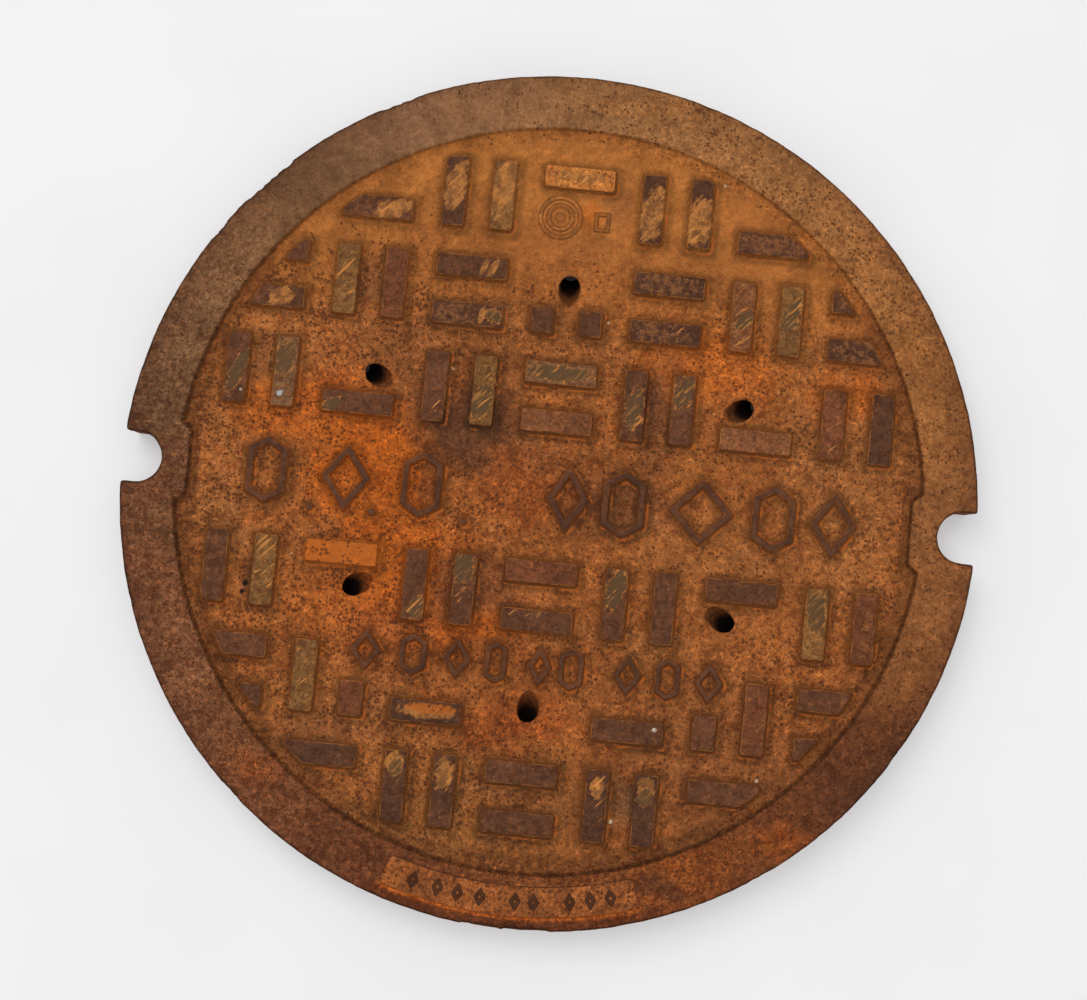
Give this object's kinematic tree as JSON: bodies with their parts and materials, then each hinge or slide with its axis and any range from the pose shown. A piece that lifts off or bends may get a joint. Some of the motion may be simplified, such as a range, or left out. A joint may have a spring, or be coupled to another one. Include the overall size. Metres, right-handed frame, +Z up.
{
  "type": "manhole cover",
  "caption": "Round cast-iron street manhole cover with a basket-weave tread, a plain rim, slanting vent holes and open lifting notches at its edge.",
  "frame": {"origin": "centre of the rim's underside, the plane on which the cover seats", "axes": "+Z up out of the tread face; X through the two lifting notches, along the rows of the tread; -Y towards the rim plaque"},
  "size_m": [0.6848, 0.686, 0.0448],
  "materials": {
    "rusted_iron": "bare grey iron, rusted all over, rough and matt"
  },
  "bodies": {
    "root": {"cover_casting": "rusted_iron"}
  },
  "joints": []
}
